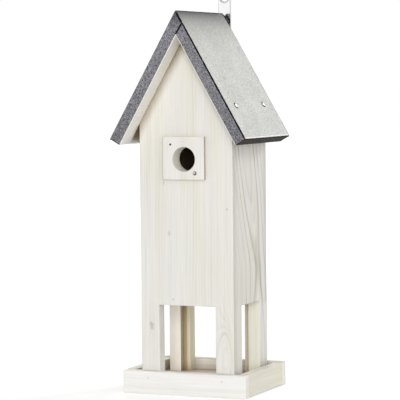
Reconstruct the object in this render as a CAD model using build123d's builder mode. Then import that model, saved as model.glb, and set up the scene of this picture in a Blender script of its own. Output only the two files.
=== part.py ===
from build123d import *
import math
import os

# A tall nest box with a steep roof. Its four corners run down as legs, which stand in a
# shallow feeding tray. Sizes are in millimetres. X runs along the front, +Y to the back and
# +Z up, the tray stands on Z = 0, and the origin is under the middle of the whole object.

# The box: four boards with mitred corners
body_w = 131.6
body_d = 115.2
wall_t = 16.5
corner_r = 1.2
cutout_edge = 0.6
leg_w = 25.8
side_leg_w = 27.0
legs_top = 116.0
gable_tip = 466.0

# Floor of the nesting space, let in between the walls
nest_floor_t = 12.0
nest_floor_rise = 2.0
fit_gap = 0.2

# Round entrance and the square plate around it
entrance_r = 16.0
entrance_x = 0.0
entrance_z = 306.8
plate_w = 58.0
plate_h = 56.0
plate_t = 6.0
plate_x = -0.9
plate_z = 308.2
plate_edge = 0.8

# Feeding tray, whose hand-fitted rims come out at slightly different heights
tray_w = 173.2
tray_floor_t = 17.0
rim_t = 13.0
front_rim_h = 29.9
side_rim_h = 30.5
back_rim_h = 31.6
side_rim_lift = 1.0
rim_edge = 0.8

# Roof: boards, the sheets on top and the strips on the edges of both. At the ridge the sheet's
# sharp top is worn down by a share of its thickness.
roof_pitch = 60.0
roof_run = 161.4
board_t = 15.0
sheet_t = 1.0
ridge_wear = 0.8
edge_t = 1.0
edge_bare = 1.2
front_eave = 27.2
back_eave = 11.6

# Hanging strap, screwed to the back wall and cranked out past the roof
strap_w = 17.5
strap_t = 2.5
strap_clear = 6.0
strap_foot_z = 384.0
strap_bend_z = 424.0
strap_crank = 25.0
strap_bend_r = 5.0
strap_hole_r = 6.0
strap_hole_z = 519.5
strap_head = 9.0

# Places that follow from the sizes above
pitch = math.radians(roof_pitch)
front_reach = body_d / 2 + front_eave
back_reach = body_d / 2 + back_eave + strap_clear + strap_t
mid_y = (front_reach - back_reach) / 2
front_y = mid_y - body_d / 2
back_y = mid_y + body_d / 2
roof_front_y = front_y - front_eave
roof_back_y = back_y + back_eave
LEFT = -1
RIGHT = 1


def on_slope(side, along, out):
    """X and Z of a point on one roof slope: down it from the gable's tip, out from its inner face."""
    x = side * (along * math.cos(pitch) + out * math.sin(pitch))
    z = gable_tip - along * math.sin(pitch) + out * math.cos(pitch)
    return (x, z)


def along_depth(outline, start_y, length):
    """A solid with one outline in X and Z, running back from start_y."""
    with BuildPart() as prism:
        with BuildSketch(Plane.XZ.offset(-start_y)):
            with BuildLine():
                Polyline(*outline, close=True)
            make_face()
        extrude(amount=-length)
    return prism.part


def wall_board(sector):
    """One wall: its share of the mitred ring, cut to the roof's slopes at the top."""
    with BuildPart() as board:
        with BuildSketch(Plane.XY.offset(tray_floor_t)):
            with Locations((0, mid_y)):
                RectangleRounded(body_w, body_d, corner_r)
                Rectangle(body_w - 2 * wall_t, body_d - 2 * wall_t, mode=Mode.SUBTRACT)
                Polygon(*sector, align=None, mode=Mode.INTERSECT)
        extrude(amount=gable_tip - tray_floor_t)
        with BuildSketch(Plane.XZ.offset(-front_y)):
            with BuildLine():
                foot = [(body_w / 2, tray_floor_t), (-body_w / 2, tray_floor_t)]
                eaves = body_w / 2 / math.cos(pitch)
                tops = [on_slope(LEFT, eaves, 0), (0, gable_tip), on_slope(RIGHT, eaves, 0)]
                Polyline(*foot, *tops, close=True)
            make_face()
        extrude(amount=-body_d, mode=Mode.INTERSECT)
    return board.part


def ease_cutout(edges):
    """Chamfers the edges of a cut-out between two legs, above their feet."""
    chamfer(edges.filter_by_position(Axis.Z, tray_floor_t + 1, legs_top + 1), cutout_edge)


def gable_wall(end):
    """The front (-1) or back (1) wall, with the cut-out that leaves its two legs."""
    half_w = body_w / 2
    half_d = body_d / 2
    outer = [(-half_w, end * half_d), (half_w, end * half_d)]
    inner = [(half_w - wall_t, end * (half_d - wall_t)), (wall_t - half_w, end * (half_d - wall_t))]
    with BuildPart() as wall:
        add(wall_board(outer + inner))
        with BuildSketch(Plane.XZ.offset(-mid_y)):
            with Locations((0, (tray_floor_t + legs_top) / 2)):
                Rectangle(body_w - 2 * leg_w, legs_top - tray_floor_t)
        extrude(amount=body_d, both=True, mode=Mode.SUBTRACT)
        face = wall.faces().sort_by(Axis.Y)[0 if end < 0 else -1]
        ease_cutout(face.edges().filter_by_position(Axis.X, -half_w + leg_w - 1, half_w - leg_w + 1))
    return wall.part


def side_wall(side):
    """The left or right wall, with the cut-out that leaves its two legs."""
    half_w = body_w / 2
    half_d = body_d / 2
    outer = [(side * half_w, -half_d), (side * half_w, half_d)]
    inner = [(side * (half_w - wall_t), half_d - wall_t), (side * (half_w - wall_t), wall_t - half_d)]
    with BuildPart() as wall:
        add(wall_board(outer + inner))
        with BuildSketch(Plane.YZ):
            with Locations((mid_y, (tray_floor_t + legs_top) / 2)):
                Rectangle(body_d - 2 * side_leg_w, legs_top - tray_floor_t)
        extrude(amount=body_w, both=True, mode=Mode.SUBTRACT)
        face = wall.faces().sort_by(Axis.X)[0 if side < 0 else -1]
        near_y = mid_y - half_d + side_leg_w - 1
        far_y = mid_y + half_d - side_leg_w + 1
        ease_cutout(face.edges().filter_by_position(Axis.Y, near_y, far_y))
    return wall.part


pieces = {}

# Front wall, with the entrance bored through it
with BuildPart() as front_wall:
    add(gable_wall(-1))
    with BuildSketch(Plane.XZ.offset(-front_y)):
        with Locations((entrance_x, entrance_z)):
            Circle(entrance_r)
    extrude(amount=-wall_t, mode=Mode.SUBTRACT)
pieces["front_wall"] = front_wall.part
pieces["back_wall"] = gable_wall(1)
pieces["left_wall"] = side_wall(LEFT)
pieces["right_wall"] = side_wall(RIGHT)

# Entrance plate, with its front edges eased
with BuildPart() as entrance_plate:
    with BuildSketch(Plane.XZ.offset(-front_y)):
        with Locations((plate_x, plate_z)):
            Rectangle(plate_w, plate_h)
    extrude(amount=plate_t)
    chamfer(entrance_plate.faces().sort_by(Axis.Y)[0].edges(), plate_edge)
    with BuildSketch(Plane.XZ.offset(-front_y)):
        with Locations((entrance_x, entrance_z)):
            Circle(entrance_r)
    extrude(amount=plate_t, mode=Mode.SUBTRACT)
pieces["entrance_plate"] = entrance_plate.part

# Floor of the nesting space
with BuildPart() as nest_floor:
    with BuildSketch(Plane.XY.offset(legs_top + nest_floor_rise)):
        with Locations((0, mid_y)):
            Rectangle(body_w - 2 * (wall_t + fit_gap), body_d - 2 * (wall_t + fit_gap))
    extrude(amount=nest_floor_t)
pieces["nest_floor"] = nest_floor.part

# Tray: a thick base board, with the rims nailed to its edges and to the legs
with BuildPart() as tray_floor:
    with BuildSketch():
        with Locations((0, mid_y)):
            Rectangle(tray_w - 2 * rim_t, body_d)
    extrude(amount=tray_floor_t)
pieces["tray_floor"] = tray_floor.part

end_rims = (("front", front_y - rim_t / 2, front_rim_h), ("back", back_y + rim_t / 2, back_rim_h))
for name, centre_y, height in end_rims:
    with BuildPart() as end_rim:
        with BuildSketch():
            with Locations((0, centre_y)):
                Rectangle(tray_w, rim_t)
        extrude(amount=height)
        chamfer(end_rim.edges(), rim_edge)
    pieces["tray_rim_" + name] = end_rim.part

for name, side in (("left", LEFT), ("right", RIGHT)):
    with BuildPart() as side_rim:
        with BuildSketch(Plane.XY.offset(side_rim_lift)):
            with Locations((side * (tray_w - rim_t) / 2, mid_y)):
                Rectangle(rim_t, body_d)
        extrude(amount=side_rim_h - side_rim_lift)
        chamfer(side_rim.edges().filter_by(Axis.Y), rim_edge)
    pieces["tray_rim_" + name] = side_rim.part

# Roof boards. The left one runs up to the ridge, and the right one butts against it.
roof_t = board_t + sheet_t
board_front_y = roof_front_y + edge_t
board_length = roof_back_y - edge_t - board_front_y


def slope_layer(side, low, high):
    """Outline of one layer of a slope: up to the ridge on the left, butted against it on the right."""
    eave = [on_slope(side, roof_run, low), on_slope(side, roof_run, high)]
    if side == LEFT:
        return eave + [ridge_joint(high, high), ridge_joint(low, high)]
    return eave + [ridge_joint(low, high), ridge_joint(low, low)]


def ridge_joint(left_out, right_out):
    """X and Z where a plane of the left slope meets one of the right slope."""
    x = (right_out - left_out) / (2 * math.sin(pitch))
    z = gable_tip + (left_out + right_out) / (2 * math.cos(pitch))
    return (x, z)


def blunt_ridge(outline):
    """The outline with the roof's sharp apex worn down to a narrow flat."""
    x, z = ridge_joint(roof_t, roof_t)
    drop = ridge_wear * sheet_t
    half_flat = drop / math.tan(pitch)
    flat = [(x - half_flat, z - drop), (x + half_flat, z - drop)]
    apex = outline.index((x, z))
    return outline[:apex] + flat + outline[apex + 1:]


for name, side in (("left", LEFT), ("right", RIGHT)):
    board = slope_layer(side, 0, board_t)
    pieces["roof_board_" + name] = along_depth(board, board_front_y, board_length)
    sheet = slope_layer(side, board_t, roof_t)
    if side == LEFT:
        sheet = blunt_ridge(sheet)
    pieces["roof_sheet_" + name] = along_depth(sheet, board_front_y, board_length)

# Strips over the front, back and eave edges, which leave the boards' lower corner bare
left_end = slope_layer(LEFT, edge_bare, roof_t)
left_end[3:] = [ridge_joint(0, roof_t), ridge_joint(0, edge_bare), ridge_joint(edge_bare, edge_bare)]
left_end = blunt_ridge(left_end)
right_end = slope_layer(RIGHT, edge_bare, roof_t)
right_end[2:] = [ridge_joint(0, roof_t), ridge_joint(0, edge_bare)]
for name, outline in (("left", left_end), ("right", right_end)):
    pieces["roof_edge_front_" + name] = along_depth(outline, roof_front_y, edge_t)
    pieces["roof_edge_back_" + name] = along_depth(outline, roof_back_y - edge_t, edge_t)

for name, side in (("left", LEFT), ("right", RIGHT)):
    eave_outline = [
        on_slope(side, roof_run, edge_bare),
        on_slope(side, roof_run, roof_t),
        on_slope(side, roof_run + edge_t, roof_t),
        on_slope(side, roof_run + edge_t, edge_bare),
    ]
    roof_length = roof_back_y - roof_front_y
    pieces["eave_edge_" + name] = along_depth(eave_outline, roof_front_y, roof_length)

# Hanging strap: flat on the back wall, cranked past the roof, with a round head and a hole
strap_low_y = back_y + strap_t / 2
strap_high_y = roof_back_y + strap_clear + strap_t / 2
with BuildPart() as hanging_strap:
    with BuildSketch(Plane.YZ):
        with BuildLine():
            FilletPolyline(
                (strap_low_y, strap_foot_z),
                (strap_low_y, strap_bend_z),
                (strap_high_y, strap_bend_z + strap_crank),
                (strap_high_y, strap_hole_z + strap_head),
                radius=strap_bend_r,
            )
        trace(line_width=strap_t)
    extrude(amount=strap_w / 2, both=True)
    head_corners = hanging_strap.edges().filter_by(Axis.Y).group_by(Axis.Z)[-1]
    fillet(head_corners, strap_w / 2 - fit_gap)
    with BuildSketch(Plane.XZ.offset(-strap_high_y)):
        with Locations((0, strap_hole_z)):
            Circle(strap_hole_r)
    extrude(amount=strap_t, both=True, mode=Mode.SUBTRACT)
pieces["hanging_strap"] = hanging_strap.part

os.makedirs("parts", exist_ok=True)
for name, piece in pieces.items():
    piece.label = name
    export_step(piece, "parts/" + name + ".step")
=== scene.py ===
import math
import random

import bmesh
import bpy
from mathutils import Matrix, Vector


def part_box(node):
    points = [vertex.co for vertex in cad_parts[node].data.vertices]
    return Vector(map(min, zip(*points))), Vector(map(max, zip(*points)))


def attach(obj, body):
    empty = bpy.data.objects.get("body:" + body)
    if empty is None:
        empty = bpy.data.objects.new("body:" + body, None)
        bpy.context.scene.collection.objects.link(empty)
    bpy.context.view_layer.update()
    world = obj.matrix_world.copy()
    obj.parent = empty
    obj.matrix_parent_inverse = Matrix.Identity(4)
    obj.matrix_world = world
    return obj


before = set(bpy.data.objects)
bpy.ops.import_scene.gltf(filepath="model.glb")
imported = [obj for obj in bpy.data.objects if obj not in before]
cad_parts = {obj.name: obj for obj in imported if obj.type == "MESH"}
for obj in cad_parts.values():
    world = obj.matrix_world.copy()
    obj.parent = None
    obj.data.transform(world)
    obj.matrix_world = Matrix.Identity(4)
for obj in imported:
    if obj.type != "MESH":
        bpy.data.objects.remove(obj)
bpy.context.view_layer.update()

# The looks of a tall wooden nest box: white glaze over pine, a grey roof, bright small metal.
# Sizes and places are in millimetres here, and in metres in Blender.
MM = 0.001
BODY = "root"
X, Y, Z = 0, 1, 2
LEFT, RIGHT = -1, 1
FRONT, BACK = -1, 1


def corners(node):
    """The lowest and the highest corner of a node, in millimetres."""
    return [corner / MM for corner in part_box(node)]


front_low, front_high = corners("front_wall")
nest_low, nest_high = corners("nest_floor")
eave_low, eave_high = corners("eave_edge_right")
back_y = corners("back_wall")[1].y
plate_y = corners("entrance_plate")[0].y
tray_floor_top = corners("tray_floor")[1].z
sheet_foot = corners("roof_sheet_right")[0].z
strip_top = corners("roof_edge_front_right")[1].z
strap_high = corners("hanging_strap")[1]

# The box: its middle, half its depth, the top of the cut-outs between its legs, and its entrance
middle_y = (front_low.y + back_y) / 2
half_depth = (back_y - front_low.y) / 2
nest_floor_rise = 2.0
legs_top = nest_low.z - nest_floor_rise
entrance = {"x": 0.0, "z": 306.8, "radius": 16.0}

# The strap: its thickness, and its hole, which lies strap_head below its upper end
strap_t = 2.5
strap_head = 9.0
strap_hole = {"z": strap_high.z - strap_head, "radius": 6.0}

# The roof: its slopes meet over the gable's tip, and its outer face lies roof_t out from that plane.
# A seam runs down from seam_top, where the right slope's strips butt against the left one's.
roof_pitch = math.radians(60)
gable_tip = front_high.z
roof_t = (strip_top - gable_tip) * 2 * math.cos(roof_pitch)
seam_top = Vector((roof_t / (2 * math.sin(roof_pitch)), 0, strip_top))
apex_z = gable_tip + roof_t / math.cos(roof_pitch)
roof_front_y, roof_back_y = eave_low.y, eave_high.y


def slope_normal(side):
    return Vector((side * math.sin(roof_pitch), 0, math.cos(roof_pitch)))


def on_slope(side, along, out, y):
    """A point of a roof slope: down it from the gable's tip, and out from its inner face."""
    down = Vector((side * math.cos(roof_pitch), 0, -math.sin(roof_pitch)))
    return Vector((0, y, gable_tip)) + down * along + slope_normal(side) * out


def along_at(x):
    """How far down its slope the roof's outer face lies x from the middle."""
    return (x - roof_t * math.sin(roof_pitch)) / math.cos(roof_pitch)


def srgb(red, green, blue):
    """A colour given as it shows on a screen, from 0 to 255, as Blender's linear colour."""
    linear = []
    for level in (red, green, blue):
        share = level / 255
        linear.append(share / 12.92 if share <= 0.04045 else ((share + 0.055) / 1.055) ** 2.4)
    return (*linear, 1.0)


# Materials

class Graph:
    """A material's nodes, added one at a time and joined by their sockets."""

    def __init__(self, name):
        self.material = bpy.data.materials.new(name)
        self.material.use_nodes = True
        self.tree = self.material.node_tree
        self.shader = self.tree.nodes["Principled BSDF"]
        place = self.node("ShaderNodeTexCoord")
        scaled = self.node("ShaderNodeVectorMath", operation="SCALE")
        self.join(place.outputs["Object"], scaled.inputs[0])
        scaled.inputs["Scale"].default_value = 1 / MM
        self.position = scaled.outputs[0]
        self.axes = self.split(self.position)
        self.facing = self.split(place.outputs["Normal"])

    def node(self, kind, **settings):
        node = self.tree.nodes.new(kind)
        for key, value in settings.items():
            setattr(node, key, value)
        return node

    def join(self, value, socket):
        """Links a socket to another, or sets a plain value on it."""
        if isinstance(value, bpy.types.NodeSocket):
            self.tree.links.new(value, socket)
        elif socket.type == "VECTOR":
            socket.default_value = value[:3]
        else:
            socket.default_value = value

    def split(self, vector):
        node = self.node("ShaderNodeSeparateXYZ")
        self.join(vector, node.inputs[0])
        return list(node.outputs)

    def combine(self, *values):
        node = self.node("ShaderNodeCombineXYZ")
        for value, socket in zip(values, node.inputs):
            self.join(value, socket)
        return node.outputs[0]

    def math(self, operation, *values):
        node = self.node("ShaderNodeMath", operation=operation)
        for value, socket in zip(values, node.inputs):
            self.join(value, socket)
        return node.outputs[0]

    def add(self, first, *others):
        for other in others:
            first = self.math("ADD", first, other)
        return first

    def times(self, first, *others):
        for other in others:
            first = self.math("MULTIPLY", first, other)
        return first

    def minus(self, first, second):
        return self.math("SUBTRACT", first, second)

    def absolute(self, value):
        return self.math("ABSOLUTE", value)

    def bell(self, value):
        """1 where the value is 0, falling to nothing on both sides."""
        squared = self.math("POWER", self.absolute(value), 2.0)
        return self.math("EXPONENT", self.times(squared, -1.0))

    def fade(self, value, start, end, low=0.0, high=1.0):
        """Goes smoothly from low to high as the value goes from start to end."""
        node = self.node("ShaderNodeMapRange", interpolation_type="SMOOTHSTEP")
        for key, given in enumerate((value, start, end, low, high)):
            self.join(given, node.inputs[key])
        return node.outputs[0]

    def noise(self, vector, size, detail=2.0, roughness=0.5):
        """Noise from 0 to 1 whose largest patches are about size millimetres."""
        node = self.node("ShaderNodeTexNoise")
        self.join(vector, node.inputs["Vector"])
        node.inputs["Scale"].default_value = 1 / size
        node.inputs["Detail"].default_value = detail
        node.inputs["Roughness"].default_value = roughness
        return node.outputs["Fac"]

    def ripple(self, vector, size, depth, detail=2.0):
        """A level around 1 that noise moves up and down by about depth."""
        return self.math("MULTIPLY_ADD", self.noise(vector, size, detail), 2 * depth, 1 - depth)

    def wander(self, value, size, seed):
        """Noise from -1 to 1 along one direction."""
        node = self.node("ShaderNodeTexNoise", noise_dimensions="1D")
        self.join(self.add(value, seed * size), node.inputs["W"])
        node.inputs["Scale"].default_value = 1 / size
        node.inputs["Detail"].default_value = 1.0
        return self.math("MULTIPLY_ADD", node.outputs["Fac"], 2.0, -1.0)

    def closed_in(self, reach):
        """0 on an open face, rising to 1 deep in a corner, with what lies within reach millimetres."""
        node = self.node("ShaderNodeAmbientOcclusion", samples=6)
        node.inputs["Distance"].default_value = reach * MM
        return self.minus(1.0, node.outputs["AO"])

    def blend(self, factor, first, second):
        node = self.node("ShaderNodeMix", data_type="RGBA")
        self.join(factor, node.inputs["Factor"])
        self.join(first, node.inputs[6])
        self.join(second, node.inputs[7])
        return node.outputs[2]

    def tint(self, colour, level):
        """The colour made lighter or darker by a level around 1."""
        node = self.node("ShaderNodeVectorMath", operation="SCALE")
        self.join(colour, node.inputs[0])
        self.join(level, node.inputs["Scale"])
        return node.outputs[0]

    def from_axis(self, x, z):
        """Distance from a line along Y through x and z."""
        across = self.minus(self.axes[X], x)
        above = self.minus(self.axes[Z], z)
        return self.math("SQRT", self.add(self.times(across, across), self.times(above, above)))

    def colour(self, value):
        self.join(value, self.shader.inputs["Base Color"])

    def rough(self, value):
        self.join(value, self.shader.inputs["Roughness"])

    def gloss(self, level):
        self.shader.inputs["Specular IOR Level"].default_value = level

    def metallic(self, level):
        self.shader.inputs["Metallic"].default_value = level

    def relief(self, height, depth):
        """Bump from a height of 0 to 1, at its real depth in millimetres."""
        node = self.node("ShaderNodeBump")
        node.inputs["Strength"].default_value = 1.0
        node.inputs["Distance"].default_value = depth * MM
        self.join(height, node.inputs["Height"])
        self.join(node.outputs[0], self.shader.inputs["Normal"])


# Glazed pine. Each glaze has its two tones, the ring lines, the end grain, the knots, the painted shade
# that gathers in corners, and the painted light on the wall of the entrance.
wall_glaze = {
    "pale": srgb(241, 239, 235),
    "cream": srgb(235, 232, 217),
    "line": srgb(186, 181, 162),
    "end": srgb(228, 221, 206),
    "knot": srgb(112, 106, 92),
    "shade": srgb(128, 106, 72),
    "bore": srgb(252, 248, 238),
}
roof_glaze = {**wall_glaze, "end": srgb(252, 250, 243)}
tray_glaze = {
    **wall_glaze,
    "pale": srgb(252, 251, 247),
    "cream": srgb(248, 245, 238),
    "end": srgb(238, 234, 224),
}

# Raw pine: its wood and ring lines, its painted shade inside the nesting space, and on the legs' inner
# faces its tone and the painted shade in their corners
bare_pine = {
    "pale": srgb(228, 217, 197),
    "line": srgb(204, 187, 158),
    "dim": srgb(62, 48, 34),
    "leg": srgb(252, 242, 221),
    "leg_corner_shade": srgb(206, 190, 156),
}

# How far round a corner the painted shade reaches, and between which heights it fades near the ground
shade_reach = 14.0
ground_fade = (tray_floor_top - 12.0, tray_floor_top)
# The legs' sawn sides lie nearer than this to the middle, and the walls' outer faces further out
sawn_reach = 47.0
# Between these distances from the middle, the back legs' inner faces take on the painted shade of their
# corner
leg_corner_shade_fade = (nest_high.x - 5.2, nest_high.x - 3.8)


def even_shade(g):
    """How strongly painted shade darkens a corner."""
    return 0.8


def plate_shade(g):
    """Painted shade in corners, stronger on the plate, whose sides are narrow."""
    return 1.7


def wall_shade(g):
    """Painted shade on a wall: strong close under the roof's slopes, most near their tip, weak by the
    tray.
    """
    under_slope = g.add(g.times(g.absolute(g.axes[X]), -math.sin(roof_pitch)),
                        g.times(g.minus(gable_tip, g.axes[Z]), math.cos(roof_pitch)))
    near_slope = g.fade(under_slope, 12.0, 26.0, low=1.6, high=0.25)
    near_tray = g.fade(g.axes[Z], 60.0, 130.0, low=0.4, high=1.0)
    near_tip = g.fade(g.axes[Z], gable_tip - 60.0, gable_tip - 20.0, low=1.0, high=1.25)
    return g.times(near_slope, near_tray, near_tip)


def roof_shade(g):
    """Painted shade: none on the soffit in front of the front wall, and strong behind it."""
    return g.fade(g.axes[Y], front_low.y - 1.0, front_low.y + 4.0, low=0.0, high=3.2)


# What a board is like unless its finish says otherwise:
# bend and wave are how far the tree's heart wanders and its rings wave, in millimetres
# warmth is the share of cream in the glaze, and end how strongly the end grain shows its own tone
# bare is the axis and direction of the side without glaze, at the level bare_level
# leg is how strongly that side has the legs' own tone, below the nest floor
# knots and accents are the knots, and the rings that stand out
# cut is the axis that the legs' sawn sides face, and their colour, which on the side walls is painted
# light
# saddle is a place where the rings run up into an arch
# quiet is where along the board the rings are faint, and where they are clear again
# shade is how strongly painted shade darkens its corners, and bored says that the entrance goes through
# it, with painted light on the entrance's wall
# dim_borders darkens a side wall towards its front and back borders
plain_board = {
    "glaze": wall_glaze,
    "tone": 1.0,
    "bend": 8.0,
    "wave": 1.4,
    "warmth": 0.35,
    "end": 0.7,
    "bare": None,
    "bare_level": 1.0,
    "leg": 0.0,
    "knots": (),
    "accents": (),
    "cut": None,
    "saddle": None,
    "quiet": None,
    "shade": even_shade,
    "bored": False,
    "dim_borders": False,
}


def cross_axes(g, grain):
    """The position on the two axes across the grain."""
    return [g.axes[axis] for axis in range(3) if axis != grain]


def drawn_out(g, grain, share):
    """The position, shortened along the grain to a share, so that noise is drawn out along it."""
    return g.combine(*cross_axes(g, grain), g.times(g.axes[grain], share))


def knot_distance(g, knot, grain):
    """Distance from a knot's middle in knot sizes, less along the grain."""
    parts = []
    for axis in range(3):
        part = g.minus(g.axes[axis], knot["spot"][axis])
        stretch = knot.get("long", 1.4) if axis == grain else 1.0
        parts.append(g.times(part, 1 / (stretch * knot["size"])))
    node = g.node("ShaderNodeVectorMath", operation="LENGTH")
    g.join(g.combine(*parts), node.inputs[0])
    return node.outputs["Value"]


def ring_radius(g, board):
    """Distance from the tree's wandering heart, in millimetres, whose steps are its rings."""
    grain, heart, seed = board["grain"], board["heart"], board["seed"]
    bend, wave, saddle = board["bend"], board["wave"], board["saddle"]
    along = g.axes[grain]
    across, deep = cross_axes(g, grain)
    side = g.add(g.minus(across, heart[0]), g.times(g.wander(along, 260.0, seed), bend))
    depth = g.add(g.minus(deep, heart[1]), g.times(g.wander(along, 190.0, seed + 7.3), bend * 0.7))
    if saddle:
        above = g.minus(along, saddle["place"])
        depth = g.add(depth, g.times(g.math("MAXIMUM", above, 0.0), saddle["lean"]))
    radius = g.math("SQRT", g.add(g.times(side, side), g.times(depth, depth)))
    waves = g.noise(drawn_out(g, grain, 0.09), size=22.0)
    radius = g.add(radius, g.math("MULTIPLY_ADD", waves, 2 * wave, -wave))
    if saddle:
        swell = g.bell(g.times(above, 1 / saddle["reach"]))
        radius = g.add(radius, g.times(swell, saddle["height"]))
    for knot in board["knots"]:
        near = g.bell(g.times(knot_distance(g, knot, grain), 0.7))
        radius = g.add(radius, g.times(near, knot["size"] * knot.get("lift", 0.8)))
    return radius


def late_wood(g, radius, board):
    """The dark late wood of each ring, in some rings stronger than in others."""
    turns = g.times(radius, 1 / board["ring"])
    inside = g.math("FRACT", turns)
    late = g.times(g.fade(inside, 0.2, 0.8), g.fade(inside, 1.0, 0.9))
    chance = g.node("ShaderNodeTexWhiteNoise", noise_dimensions="1D")
    g.join(g.add(g.math("FLOOR", turns), board["seed"]), chance.inputs["W"])
    share = g.math("POWER", chance.outputs["Value"], 1.6)
    return g.times(late, g.math("MULTIPLY_ADD", share, 0.85, 0.15))


def line_strength(g, radius, late, streak, board):
    """How strongly the ring lines come through the glaze."""
    grain = board["grain"]
    bold = g.noise(drawn_out(g, grain, 0.12), size=24.0)
    strength = g.times(late, g.fade(streak, 0.3, 0.7, low=0.6, high=1.3))
    strength = g.times(strength, g.fade(bold, 0.38, 0.62, low=0.35, high=1.35), board["show"])
    for accent in board["accents"]:
        line = g.bell(g.times(g.minus(radius, accent["radius"]), 1 / accent["width"]))
        line = g.times(line, g.fade(streak, 0.3, 0.7, low=0.55, high=1.35), accent["show"])
        strength = g.math("MAXIMUM", strength, line)
    if board["quiet"]:
        faint, clear = board["quiet"]
        strength = g.times(strength, g.fade(g.axes[grain], faint, clear, low=0.45, high=1.0))
    for knot in board["knots"]:
        if "bold" in knot:
            near = g.bell(g.times(knot_distance(g, knot, grain), 0.6))
            strength = g.times(strength, g.math("MULTIPLY_ADD", near, knot["bold"], 1.0))
    return strength


def sawn_sides(g, axis):
    """1 on the legs' sawn sides that face along an axis."""
    middle = middle_y if axis == Y else 0.0
    inner = g.fade(g.absolute(g.minus(g.axes[axis], middle)), sawn_reach + 5.0, sawn_reach)
    low = g.fade(g.axes[Z], legs_top + 2.0, legs_top - 4.0)
    return g.times(g.fade(g.absolute(g.facing[axis]), 0.5, 0.8), low, inner)


def raw_colour(g, late, board):
    """Wood without glaze: darkened by painted shade inside the nesting space, with a tone of its own on
    the legs.
    """
    raw = g.blend(g.times(late, 0.8), bare_pine["pale"], bare_pine["line"])
    raw = g.tint(raw, board["bare_level"])
    raw = g.blend(g.fade(g.axes[Z], nest_high.z, nest_high.z + 2.0), raw, bare_pine["dim"])
    # On the legs, painted shade in the inner corner
    in_corner = g.fade(g.absolute(g.axes[X]), *leg_corner_shade_fade)
    leg = g.blend(in_corner, bare_pine["leg"], bare_pine["leg_corner_shade"])
    below_nest = g.fade(g.axes[Z], legs_top - 10.0, legs_top - 2.0, low=1.0, high=0.0)
    return g.blend(g.times(below_nest, board["leg"]), raw, leg)


def mark_knots(g, colour, board):
    """The colour with a ragged dark mark on each knot."""
    for knot in board["knots"]:
        uneven = g.noise(g.position, knot["size"] * 0.8, detail=3.0)
        ragged = g.math("MULTIPLY_ADD", uneven, 1.3, -0.55)
        near = g.fade(g.add(knot_distance(g, knot, board["grain"]), ragged), 1.0, 0.4)
        colour = g.blend(g.times(near, knot["dark"]), colour, board["glaze"]["knot"])
    return colour


def darker_borders(g):
    """A level that falls towards a side wall's front and back borders, but not on its back leg."""
    out = g.absolute(g.minus(g.axes[Y], middle_y))
    to_back = g.fade(g.axes[Y], middle_y - 1.0, middle_y + 1.0)
    back_leg = g.times(to_back, g.fade(g.axes[Z], legs_top + 2.0, legs_top - 10.0))
    dim = g.fade(out, half_depth - 16.0, half_depth - 4.0, low=0.0, high=0.14)
    return g.minus(1.0, g.times(dim, g.minus(1.0, back_leg)))


def glazed_colour(g, lines, facing_end, board):
    """Pale glaze with cream patches, with the end grain's own tone, and the ring lines through it."""
    glaze, warmth = board["glaze"], board["warmth"]
    patch = g.noise(drawn_out(g, board["grain"], 0.1), size=26.0)
    cream = g.fade(patch, 0.3, 0.7, warmth - 0.3, warmth + 0.3)
    base = g.blend(cream, glaze["pale"], glaze["cream"])
    base = g.blend(g.times(facing_end, board["end"]), base, glaze["end"])
    return g.blend(lines, base, glaze["line"])


def surface_level(g, fibres, board):
    """Fine light and dark along the fibres, times the tone of the whole board."""
    fine = g.ripple(fibres, 1.3, 0.075)
    middling = g.ripple(fibres, 3.4, 0.06)
    broad = g.ripple(fibres, 11.0, 0.05)
    level = g.times(fine, middling, broad, board["tone"])
    if board["dim_borders"]:
        level = g.times(level, darker_borders(g))
    return level


def wood(name, grain, heart, ring, show, seed, **choices):
    """Glazed pine, with the rings, fibres, knots and end grain of one board.

    grain is the axis of the fibres. heart is the tree's middle on the other two axes, ring the gap
    between rings, and show how strongly they come through the glaze. The choices are those of
    plain_board.
    """
    board = {**plain_board, **choices}
    board.update(grain=grain, heart=heart, ring=ring, show=show, seed=seed)
    glaze = board["glaze"]
    g = Graph(name)
    radius = ring_radius(g, board)
    late = late_wood(g, radius, board)
    fibres = drawn_out(g, grain, 0.025)
    streak = g.noise(fibres, size=3.0, detail=3.0, roughness=0.6)
    facing_end = g.fade(g.absolute(g.facing[grain]), 0.6, 0.9)
    lines = line_strength(g, radius, late, streak, board)
    colour = glazed_colour(g, lines, facing_end, board)
    if board["cut"]:
        axis, sawn_colour = board["cut"]
        colour = g.blend(sawn_sides(g, axis), colour, sawn_colour)

    # Painted shade where the board is closed in, in its corners, with none on end grain and near the
    # ground
    shade = board["shade"](g)
    if board["bare"]:
        axis, sign = board["bare"]
        open_side = g.fade(g.times(g.facing[axis], sign), 0.5, 0.8)
        colour = g.blend(open_side, colour, raw_colour(g, late, board))
        shade = g.math("MAXIMUM", shade, open_side)
    above_ground = g.fade(g.axes[Z], *ground_fade)
    shade = g.times(g.closed_in(shade_reach), g.minus(1.0, facing_end), above_ground, shade)
    # In the entrance there is no painted shade, and its wall is painted lighter, a painted light
    if board["bored"]:
        from_entrance = g.from_axis(entrance["x"], entrance["z"])
        bore = g.fade(from_entrance, entrance["radius"] + 1.0, entrance["radius"] + 0.2)
        shade = g.times(shade, g.minus(1.0, bore))
        lit_bore_wall = g.times(bore, g.fade(g.absolute(g.facing[Y]), 0.8, 0.5))
        colour = g.blend(lit_bore_wall, colour, glaze["bore"])
    colour = mark_knots(g, g.blend(shade, colour, glaze["shade"]), board)

    g.colour(g.tint(colour, surface_level(g, fibres, board)))
    g.rough(g.add(g.fade(streak, 0.2, 0.8, low=0.5, high=0.66), g.times(late, -0.05)))
    g.gloss(0.35)
    pores = g.noise(fibres, size=0.9, detail=3.0)
    g.relief(g.add(g.times(pores, 0.5), g.times(late, 0.5)), 0.12)
    return g.material


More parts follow.
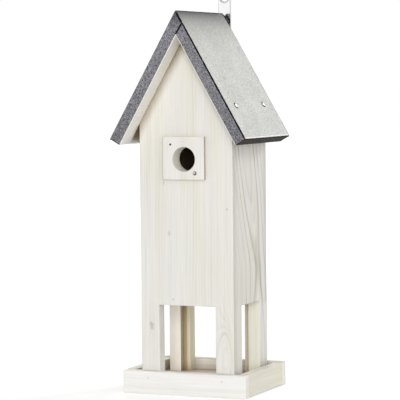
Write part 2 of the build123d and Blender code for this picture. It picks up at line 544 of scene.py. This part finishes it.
def sheet_metal(name):
    """Light grey coated sheet with a fine grain, and a painted dark reflection towards the ridge."""
    g = Graph(name)
    cloud = g.noise(g.position, size=26.0, detail=3.0)
    down = g.times(g.minus(apex_z, g.axes[Z]), 1 / math.sin(roof_pitch))
    down = g.math("MAXIMUM", g.add(down, g.math("MULTIPLY_ADD", cloud, 8.0, -4.0)), 0.0)
    # The painted reflection: how far down from the ridge it fades, how strong it is, and its darkest
    # level
    fall, strength, darkest = 20.5, 1.12, 0.03
    shade = g.math("EXPONENT", g.times(down, -1 / fall))
    shade = g.math("MAXIMUM", g.math("MULTIPLY_ADD", shade, -strength, 1.0), darkest)
    level = g.times(shade, g.fade(cloud, 0.3, 0.7, low=0.98, high=1.02))
    level = g.times(level, g.ripple(g.position, 2.6, 0.6, detail=3.0), g.ripple(g.position, 0.9, 0.3))
    # A painted highlight along the sheet's lower edge
    level = g.times(level, g.fade(g.axes[Z], sheet_foot + 1.4, sheet_foot + 2.6, low=1.5, high=1.0))
    g.colour(g.tint(srgb(200, 201, 195), level))
    g.rough(g.fade(cloud, 0.3, 0.7, low=0.5, high=0.62))
    g.gloss(0.4)
    g.relief(g.noise(g.position, size=1.3, detail=3.0, roughness=0.7), 0.08)
    return g.material


def edge_strip(name, shade, dark_top, shine):
    """Slate grey strip with a grainy, mottled face, darker by dark_top near the ridge."""
    g = Graph(name)
    grain = g.noise(g.position, size=1.5, detail=2.0, roughness=0.6)
    level = g.fade(grain, 0.3, 0.7, low=0.2, high=1.8)
    level = g.times(level, g.ripple(g.position, 5.0, 0.35), g.ripple(g.position, 14.0, 0.15))
    below = g.minus(apex_z, g.axes[Z])
    near_ridge = g.fade(below, 6.0, 24.0, low=1 - dark_top, high=1.0)
    near_eave = g.fade(below, 90.0, 165.0, low=1.0, high=0.84)
    g.colour(g.tint(shade, g.times(level, near_ridge, near_eave)))
    g.rough(g.fade(g.noise(g.position, size=2.3, detail=3.0), 0.3, 0.7, low=0.6, high=0.8))
    g.gloss(shine)
    g.relief(g.noise(g.position, size=1.6, detail=3.0, roughness=0.75), 0.15)
    return g.material


def shadow_line_black(name):
    """Black bead, dull and slightly uneven, whose black paints a shadow line."""
    g = Graph(name)
    uneven = g.noise(g.position, size=3.0, detail=3.0)
    g.colour(g.tint(srgb(15, 15, 16), g.fade(uneven, 0.3, 0.7, low=0.5, high=1.5)))
    g.rough(g.fade(uneven, 0.3, 0.7, low=0.6, high=0.8))
    g.gloss(0.12)
    g.relief(g.noise(g.position, size=1.2), 0.1)
    return g.material


def strap_dark_marks(g):
    """How much darker the strap is: a little along its long edges, and more round and inside its hole.
    """
    from_middle = g.absolute(g.axes[X])
    border = g.fade(from_middle, strap_high.x - 1.2, strap_high.x - 0.4, low=0.0, high=0.4)
    cut = g.fade(g.absolute(g.facing[Y]), 0.6, 0.4)
    in_hole = g.times(cut, g.fade(from_middle, strap_high.x - 0.8, strap_high.x - 1.6))
    from_hole = g.from_axis(0.0, strap_hole["z"])
    round_hole = g.fade(from_hole, strap_hole["radius"] + 0.4, strap_hole["radius"] + 3.2, low=0.6, high=0.0)
    darkened = g.math("MAXIMUM", border, g.times(in_hole, g.fade(g.axes[Z], apex_z, apex_z + 5.0)))
    return g.math("MAXIMUM", darkened, round_hole)


def bright_metal(name, tone, rough, line_axis, dark_marks=None):
    """Plated steel with fine drawn lines along one axis, darker where dark_marks goes to 1."""
    g = Graph(name)
    parts = list(g.axes)
    parts[line_axis] = g.times(parts[line_axis], 0.03)
    lines = g.noise(g.combine(*parts), size=0.5, detail=3.0, roughness=0.6)
    level = g.fade(lines, 0.3, 0.7, low=0.97, high=1.03)
    if dark_marks:
        level = g.times(level, g.math("MULTIPLY_ADD", dark_marks(g), -0.8, 1.0))
    g.colour(g.tint(tone, level))
    g.metallic(1.0)
    g.rough(g.fade(lines, 0.25, 0.75, low=rough * 0.8, high=rough * 1.3))
    g.relief(lines, 0.01)
    return g.material


def dark_metal(name, tone):
    """Dull, dark small metal, blotched where it has rubbed."""
    g = Graph(name)
    blotch = g.noise(g.position, size=0.7, detail=3.0, roughness=0.6)
    g.colour(g.tint(tone, g.fade(blotch, 0.3, 0.7, low=0.75, high=1.3)))
    g.metallic(0.6)
    g.rough(g.fade(blotch, 0.3, 0.7, low=0.45, high=0.65))
    g.relief(blotch, 0.03)
    return g.material


def painted_metal(name, tone):
    """Small metal under the glaze."""
    g = Graph(name)
    blotch = g.noise(g.position, size=0.9, detail=3.0)
    g.colour(g.tint(tone, g.fade(blotch, 0.3, 0.7, low=0.9, high=1.08)))
    g.rough(g.fade(blotch, 0.3, 0.7, low=0.5, high=0.65))
    g.relief(blotch, 0.04)
    return g.material


# A knot's long is how many times longer it is along the grain, lift how far it pushes the rings
# aside, in its own sizes, dark how dark its mark is, and bold how much clearer the lines are round it
front_knots = [
    {"spot": (-24.3, front_low.y, 210.0), "size": 3.2, "dark": 0.22},
    {"spot": (-50.8, front_low.y, 88.5), "size": 5.8, "lift": 1.3, "dark": 0.34},
    {"spot": (57.2, front_low.y, 50.0), "size": 8.0, "long": 4.2, "lift": 3.7, "dark": 0.0, "bold": 1.2},
    {"spot": (57.6, front_low.y, 242.6), "size": 0.9, "long": 3.0, "dark": 0.6},
    {"spot": (-31.5, front_low.y, 276.0), "size": 2.6, "dark": 0.15},
]
# Rings of the right wall that stand out
right_accents = [
    {"radius": 60.9, "width": 0.4, "show": 0.3},
    {"radius": 64.9, "width": 0.6, "show": 0.8},
    {"radius": 69.7, "width": 0.7, "show": 0.6},
    {"radius": 77.0, "width": 0.7, "show": 0.35},
]
# Above its place the heart leans forward by lean, and near it the rings are pushed out by height
right_saddle = {"place": 162.0, "reach": 70.0, "height": 4.5, "lean": 0.24}

# The finish of each CAD node
finishes = {
    "front_wall": wood(
        "glazed_front", Z, heart=(190.0, -90.0), ring=4.3, show=0.16, seed=1.0,
        bend=5.0, wave=3.2, quiet=(430.0, 330.0), knots=front_knots,
        bare=(Y, BACK), shade=wall_shade, bored=True,
    ),
    "back_wall": wood(
        "glazed_back", Z, heart=(-20.0, 130.0), ring=3.4, show=0.3, seed=2.0,
        warmth=0.85, cut=(X, srgb(210, 204, 181)),
        bare=(Y, FRONT), leg=1.0, shade=wall_shade,
    ),
    "left_wall": wood(
        "glazed_left", Z, heart=(-120.0, -6.0), ring=3.0, show=0.35, seed=3.0,
        # Its legs' sawn sides are painted lighter, a painted light where the front legs shade them
        cut=(Y, srgb(255, 250, 240)), dim_borders=True,
        # bare_level darkens its raw inner face, a painted shade on the inner faces of its legs
        bare=(X, RIGHT), bare_level=0.68, shade=wall_shade,
    ),
    "right_wall": wood(
        "glazed_right", Z, heart=(5.8, 28.7), ring=1.9, show=0.55, seed=4.0,
        bend=1.5, wave=0.8, accents=right_accents, saddle=right_saddle,
        quiet=(legs_top - 10.0, legs_top + 2.0), tone=0.9,
        # Its legs' sawn sides are painted lighter, a painted light where the front legs shade them
        cut=(Y, srgb(253, 252, 238)), dim_borders=True,
        bare=(X, LEFT), shade=wall_shade,
    ),
    "entrance_plate": wood(
        "glazed_plate", Z, heart=(-60.0, -110.0), ring=3.0, show=0.07, seed=5.0,
        warmth=0.2, shade=plate_shade, bored=True,
    ),
    "nest_floor": wood("bare_nest_floor", X, heart=(30.0, 60.0), ring=3.5, show=0.5, seed=6.0),
    "tray_floor": wood(
        "glazed_tray_floor", X, heart=(20.0, -70.0), ring=3.4, show=0.4, seed=7.0,
        bare=(Z, 1), bare_level=0.86,
    ),
    "tray_rim_front": wood(
        "glazed_rim_front", X, heart=(-95.0, 40.0), ring=3.2, show=0.05, seed=8.0,
        glaze=tray_glaze, warmth=0.1, bare=(Y, BACK),
    ),
    "tray_rim_back": wood(
        "glazed_rim_back", X, heart=(100.0, -20.0), ring=3.4, show=0.3, seed=9.0,
        glaze=tray_glaze, bare=(Z, 1), bare_level=0.92,
    ),
    "tray_rim_left": wood(
        "glazed_rim_left", Y, heart=(-130.0, 30.0), ring=3.3, show=0.2, seed=10.0,
        warmth=0.7,
    ),
    "tray_rim_right": wood(
        "glazed_rim_right", Y, heart=(120.0, -30.0), ring=3.3, show=0.15, seed=11.0,
        wave=3.0, warmth=0.8, tone=0.98,
    ),
    "roof_board_left": wood(
        "glazed_roof_left", Y, heart=(-10.0, 250.0), ring=3.6, show=0.07, seed=12.0,
        glaze=roof_glaze, end=1.0, shade=roof_shade,
    ),
    "roof_board_right": wood(
        "glazed_roof_right", Y, heart=(30.0, 240.0), ring=3.6, show=0.07, seed=13.0,
        glaze=roof_glaze, end=1.0, shade=roof_shade,
    ),
    "hanging_strap": bright_metal("bright_strap", srgb(246, 246, 246), 0.14, Z, strap_dark_marks),
}
roof_face = sheet_metal("roof_sheet")
strip_face = edge_strip("edge_strip", srgb(129, 128, 133), dark_top=0.52, shine=0.3)
# The eaves' strips are the same grey strip painted far darker, a painted shade on faces that look down
shaded_eave_face = edge_strip("shaded_eave_strip", srgb(46, 41, 36), dark_top=0.0, shine=0.12)
for side in ("left", "right"):
    finishes["roof_sheet_" + side] = roof_face
    finishes["eave_edge_" + side] = shaded_eave_face
    finishes["roof_edge_front_" + side] = strip_face
    finishes["roof_edge_back_" + side] = strip_face

for node, material in finishes.items():
    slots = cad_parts[node].data.materials
    for index in range(len(slots)):
        slots[index] = material


# Shapes of the small pieces

def finish_mesh(mesh, name):
    bmesh.ops.recalc_face_normals(mesh, faces=mesh.faces)
    data = bpy.data.meshes.new(name)
    mesh.to_mesh(data)
    mesh.free()
    data.shade_smooth()
    data.set_sharp_from_angle(angle=math.radians(40))
    piece = bpy.data.objects.new(name, data)
    bpy.context.scene.collection.objects.link(piece)
    return piece


def belong(piece, material):
    piece.data.materials.append(material)
    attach(piece, BODY)


def settle(piece, point, normal, material, spin=0.0):
    """Puts a piece made round Z on the object, with Z along the normal of what carries it."""
    turn = Vector(normal).to_track_quat("Z", "Y").to_matrix().to_4x4()
    piece.matrix_world = Matrix.Translation(Vector(point) * MM) @ turn @ Matrix.Rotation(spin, 4, "Z")
    belong(piece, material)


def join_rings(mesh, low, high):
    """Faces between two rings of as many points each."""
    for step in range(len(low)):
        after = (step + 1) % len(low)
        mesh.faces.new((low[step], low[after], high[after], high[step]))


def turned(name, profile, sides=40):
    """A mesh turned round Z from a profile of (radius, height) in millimetres, closed at both ends."""
    mesh = bmesh.new()
    rings = []
    for radius, height in profile:
        count = sides if radius else 1
        angles = [2 * math.pi * step / sides for step in range(count)]
        rings.append([mesh.verts.new((radius * math.cos(a) * MM, radius * math.sin(a) * MM, height * MM))
                      for a in angles])
    for low, high in zip(rings, rings[1:]):
        for step in range(sides):
            after = (step + 1) % sides
            foot = [low[step % len(low)], low[after % len(low)]]
            head = [high[after % len(high)], high[step % len(high)]]
            mesh.faces.new(list(dict.fromkeys(foot + head)))
    return finish_mesh(mesh, name)


def screw_head(name, radius, dome, rise, recess):
    """A domed head on a low rim, with a cross pressed into it. Sizes are in millimetres."""
    mesh = bmesh.new()
    ring_count, sides = 18, 64
    arm_length, arm_half = radius * 0.56, radius * 0.13
    arm_end_slope, arm_side_slope = radius * 0.12, radius * 0.05
    tip = mesh.verts.new((0, 0, (rise + dome - recess) * MM))
    rings = []
    for step in range(1, ring_count + 1):
        share = step / ring_count
        height = rise + dome * math.sqrt(max(0.0, 1 - share ** 2.4))
        ring = []
        for turn in range(sides):
            angle = 2 * math.pi * turn / sides
            x, y = radius * share * math.cos(angle), radius * share * math.sin(angle)
            wide, narrow = max(abs(x), abs(y)), min(abs(x), abs(y))
            inside = min(max((arm_half - narrow) / arm_side_slope + 0.5, 0.0), 1.0)
            inside *= min(max((arm_length - wide) / arm_end_slope + 0.5, 0.0), 1.0)
            ring.append(mesh.verts.new((x * MM, y * MM, (height - recess * inside) * MM)))
        rings.append(ring)
    rings.append([mesh.verts.new((v.co.x, v.co.y, 0)) for v in rings[-1]])
    for turn in range(sides):
        mesh.faces.new((tip, rings[0][turn], rings[0][(turn + 1) % sides]))
    for low, high in zip(rings, rings[1:]):
        join_rings(mesh, low, high)
    mesh.faces.new(rings[-1][::-1])
    return finish_mesh(mesh, name)


def bead(name, shape, start, end, across, proud):
    """A slim, slightly uneven black bead from start to end, wide along across, high along proud."""
    # The bead's black is a painted shadow line.
    draw = random.Random(shape["seed"])
    mesh = bmesh.new()
    sides, step_length = 14, 4.0
    stations = max(6, round((end - start).length / step_length))
    rings = []
    for step in range(stations + 1):
        place = start.lerp(end, step / stations)
        end_size = 0.55 if step in (0, stations) else 1.0
        half_width = shape["width"] / 2 * draw.uniform(0.88, 1.12) * end_size
        half_height = shape["height"] / 2 * draw.uniform(0.9, 1.1) * end_size
        ring = []
        for turn in range(sides):
            angle = 2 * math.pi * turn / sides
            offset = across * (half_width * math.cos(angle)) + proud * (half_height * math.sin(angle))
            ring.append(mesh.verts.new((place + offset) * MM))
        rings.append(ring)
    for low, high in zip(rings, rings[1:]):
        join_rings(mesh, low, high)
    mesh.faces.new(rings[0][::-1])
    mesh.faces.new(rings[-1])
    belong(finish_mesh(mesh, name), shadow_line_material)


# The small pieces, which all ride on the one body

zinc = bright_metal("zinc_screw", srgb(206, 206, 200), 0.32, X)
grey_steel = dark_metal("dark_screw", srgb(112, 110, 102))
black_steel = dark_metal("black_nail", srgb(30, 28, 26))
washer_black = dark_metal("washer", srgb(40, 38, 36))
glazed_nail = painted_metal("glazed_nail", srgb(240, 237, 230))
white_nail = painted_metal("white_nail", srgb(240, 234, 226))
worn_nail = painted_metal("worn_nail", srgb(222, 211, 199))
shadow_line_material = shadow_line_black("shadow_line_black")

# Black beads at each end of the right slope, which paint the dark shadow lines of the gaps there: a cap
# from the ridge to the seam, a border from there to the eave, and one over the seam itself. inset is how
# far a bead's middle lies under the roof's outer face, and the back border lies a little deeper. The cap
# begins cap_start below the apex, and the seam's bead ends seam_foot over the gable's tip.
cap = {"width": 3.0, "height": 1.2, "inset": 0.5, "seed": 3}
border = {"width": 2.2, "height": 1.2, "inset": 0.1, "seed": 6}
border_sunk = {FRONT: 0.0, BACK: 1.0}
seam = {"width": 2.4, "height": 0.9, "seed": 3}
cap_start = 2.0
seam_foot = 1.5
for end_name, end, y in (("front", FRONT, roof_front_y), ("back", BACK, roof_back_y)):
    outward = Vector((0, end, 0))
    out = roof_t - cap["inset"]
    start = on_slope(RIGHT, along_at(0.0) + cap_start, out, y)
    stop = on_slope(RIGHT, along_at(seam_top.x), out, y)
    bead(f"roof_cap_{end_name}", cap, start, stop, slope_normal(RIGHT), outward)
    out = roof_t - border["inset"] - border_sunk[end]
    start = on_slope(RIGHT, along_at(seam_top.x), out, y)
    stop = on_slope(RIGHT, along_at(eave_high.x), out, y)
    bead(f"roof_border_{end_name}", border, start, stop, slope_normal(RIGHT), outward)
    start = Vector((seam_top.x, y, seam_top.z))
    stop = Vector((0, y, gable_tip + seam_foot))
    bead(f"roof_seam_{end_name}", seam, start, stop, slope_normal(LEFT), outward)

# Black beads along the ridge, and along the sheets' lower edges, painting the dark shadow lines there
ridge = {"width": 1.8, "height": 1.4, "inset": 0.9, "seed": 7}
start, stop = (Vector((0, y, apex_z - ridge["inset"])) for y in (roof_front_y, roof_back_y))
bead("roof_ridge", ridge, start, stop, Vector((1, 0, 0)), Vector((0, 0, 1)))
eave_shadow = {"width": 2.4, "height": 1.4, "inset": 1.1, "seed": 5}
for side_name, side in (("left", LEFT), ("right", RIGHT)):
    out = roof_t - eave_shadow["inset"]
    start, stop = (on_slope(side, along_at(eave_high.x), out, y) for y in (roof_front_y, roof_back_y))
    down = on_slope(side, 1, 0, 0) - on_slope(side, 0, 0, 0)
    bead(f"eave_shadow_line_{side_name}", eave_shadow, start, stop, slope_normal(side), down)

# Two screws through each slope of the roof, each on a thin dark washer
roof_screw_x = 70.6
roof_screw_y = {"front": -52.2, "back": 41.2}
roof_screw_r = 2.8
washer_r = roof_screw_r + 1.4
washer_t = 0.3
washer_edge = [(washer_r, 0), (washer_r, washer_t - 0.1), (washer_r - 0.2, washer_t)]
washer_profile = [(0, 0), *washer_edge, (0, washer_t)]
for side_name, side in (("left", LEFT), ("right", RIGHT)):
    normal = slope_normal(side)
    for end_name, y in roof_screw_y.items():
        name = f"roof_screw_{side_name}_{end_name}"
        seat = on_slope(side, along_at(roof_screw_x), roof_t, y)
        settle(turned(name + "_washer", washer_profile), seat, normal, washer_black)
        head = screw_head(name, roof_screw_r, dome=0.7, rise=0.3, recess=0.6)
        settle(head, seat + normal * washer_t, normal, zinc, spin=0.4)

# A nail and a screw hold the entrance plate. The screw's bright head sits off the middle of its ring.
outward = (0, FRONT, 0)
plate_nail_at = (-18.7, plate_y, 325.9)
plate_ring_at = (15.5, plate_y, 288.8)
plate_screw_at = (14.7, plate_y - 0.2, 289.3)
round_nail = [(0, -0.6), (1.35, -0.6), (1.35, 0.05), (1.1, 0.2), (0, 0.25)]
settle(turned("plate_nail", round_nail), plate_nail_at, outward, black_steel)
screw_ring = [(0, -0.5), (2.6, -0.5), (2.6, 0.1), (2.3, 0.25), (0, 0.25)]
settle(turned("plate_screw_ring", screw_ring), plate_ring_at, outward, grey_steel)
head = screw_head("plate_screw", 1.3, dome=0.3, rise=0.1, recess=0.3)
settle(head, plate_screw_at, outward, zinc, spin=0.3)

# Nails through the walls into the nest floor, and through the tray's rims into the legs. One of
# those in the front wall has lost some of its paint.
flat_nail = [(0, -0.5), (1.4, -0.5), (1.4, 0.04), (1.1, 0.14), (0, 0.1)]
floor_nails = {
    "across": (-19.4, 19.4),
    "faces": {"front": front_low.y, "back": back_y},
    "height": (nest_low.z + nest_high.z) / 2,
    "look": glazed_nail,
}
rim_nails = {
    "across": (-50.4, 53.7),
    "faces": {"front": corners("tray_rim_front")[0].y, "back": corners("tray_rim_back")[1].y},
    "height": 21.5,
    "look": white_nail,
}
darkened = "floor_nail_front_1"
for kind, nails in (("floor_nail", floor_nails), ("rim_nail", rim_nails)):
    for end_name, end in (("front", FRONT), ("back", BACK)):
        for number, x in enumerate(nails["across"], start=1):
            name = f"{kind}_{end_name}_{number}"
            place = (x, nails["faces"][end_name], nails["height"])
            look = worn_nail if name == darkened else nails["look"]
            settle(turned(name, flat_nail), place, (0, end, 0), look)

# Two screws through the strap's foot
strap_screws_z = (394.0, 412.0)
for number, z in enumerate(strap_screws_z, start=1):
    head = screw_head(f"strap_screw_{number}", 3.6, dome=1.6, rise=0.5, recess=1.1)
    settle(head, (0, back_y + strap_t, z), (0, BACK, 0), zinc, spin=0.7)


# Camera, as the photograph was taken. All lengths are in millimetres.
view = {
    "azimuth": math.radians(23.757),
    "elevation": math.radians(3.406),
    "roll": math.radians(-0.567),
    "aim_across": -4.949,
    "aim_height": 250.603,
    "distance": 2699.18,
    "lens": 184.06,
}


def towards(azimuth, elevation):
    """The direction from the object to something seen round from the front, and above it."""
    flat = math.cos(elevation)
    return Vector((math.sin(azimuth) * flat, -math.cos(azimuth) * flat, math.sin(elevation)))


back = towards(view["azimuth"], view["elevation"])
level = Vector((math.cos(view["azimuth"]), math.sin(view["azimuth"]), 0))
upright = back.cross(level)
right = math.cos(view["roll"]) * level + math.sin(view["roll"]) * upright
up = math.cos(view["roll"]) * upright - math.sin(view["roll"]) * level
aim = Vector((0, middle_y, view["aim_height"])) + level * view["aim_across"]
eye = (aim + back * view["distance"]) * MM
camera = bpy.data.objects.new("camera", bpy.data.cameras.new("camera"))
camera.matrix_world = Matrix((
    (right.x, up.x, back.x, eye.x),
    (right.y, up.y, back.y, eye.y),
    (right.z, up.z, back.z, eye.z),
    (0, 0, 0, 1),
))
camera.data.lens = view["lens"]
camera.data.clip_start = 0.05
camera.data.clip_end = 60
bpy.context.scene.collection.objects.link(camera)
bpy.context.scene.camera = camera


# Floor, lamps and white surroundings

def seen_directly(tree):
    """1 for rays that show the surroundings as they are: from the camera, or by gloss or glass."""
    path = tree.nodes.new("ShaderNodeLightPath")
    total = path.outputs["Is Camera Ray"]
    for output in ("Is Glossy Ray", "Is Transmission Ray"):
        node = tree.nodes.new("ShaderNodeMath")
        node.operation = "MAXIMUM"
        tree.links.new(total, node.inputs[0])
        tree.links.new(path.outputs[output], node.inputs[1])
        total = node.outputs[0]
    return total


def pale_floor():
    """A wide pale floor, whose own white goes to the eye alone, and which keeps the shadow."""
    mesh = bmesh.new()
    bmesh.ops.create_circle(mesh, cap_ends=True, segments=96, radius=12.0)
    floor = finish_mesh(mesh, "floor")
    g = Graph("pale_floor")
    g.colour((0.8, 0.8, 0.8, 1))
    g.rough(0.9)
    g.gloss(0.1)
    g.shader.inputs["Emission Color"].default_value = (1, 1, 1, 1)
    away = g.node("ShaderNodeVectorMath", operation="LENGTH")
    g.join(g.position, away.inputs[0])
    near, far = 350.0, 2200.0
    glow = g.fade(away.outputs["Value"], near, far, low=0.42, high=0.8)
    g.join(g.times(glow, seen_directly(g.tree)), g.shader.inputs["Emission Strength"])
    floor.data.materials.append(g.material)


def white_world(fill):
    """White all round, which lights the object only as strongly as fill."""
    world = bpy.data.worlds.new("surroundings")
    bpy.context.scene.world = world
    world.use_nodes = True
    tree = world.node_tree
    sky = tree.nodes["Background"]
    sky.inputs["Color"].default_value = (1, 1, 1, 1)
    strength = tree.nodes.new("ShaderNodeMapRange")
    strength.inputs["To Min"].default_value = fill
    strength.inputs["To Max"].default_value = 1.0
    tree.links.new(seen_directly(tree), strength.inputs["Value"])
    tree.links.new(strength.outputs[0], sky.inputs["Strength"])


def soft_lamp(name, azimuth, elevation, distance, size, power):
    """A square lamp aimed at the object's middle, in degrees, metres and watts."""
    middle = Vector((0, 0, 0.25))
    away = towards(math.radians(azimuth), math.radians(elevation))
    lamp = bpy.data.objects.new(name, bpy.data.lights.new(name, "AREA"))
    lamp.data.size = size
    lamp.data.energy = power
    lamp.location = middle + away * distance
    lamp.rotation_euler = away.to_track_quat("Z", "Y").to_euler()
    bpy.context.scene.collection.objects.link(lamp)


pale_floor()
white_world(fill=0.41)
soft_lamp("key", azimuth=22, elevation=10, distance=6.0, size=2.6, power=157)
soft_lamp("right_fill", azimuth=65, elevation=12, distance=3.4, size=3.2, power=21)
soft_lamp("back_right", azimuth=150, elevation=26, distance=3.4, size=0.6, power=29)
soft_lamp("back_left", azimuth=215, elevation=30, distance=3.4, size=1.6, power=25)

bpy.context.scene.view_settings.view_transform = "Standard"
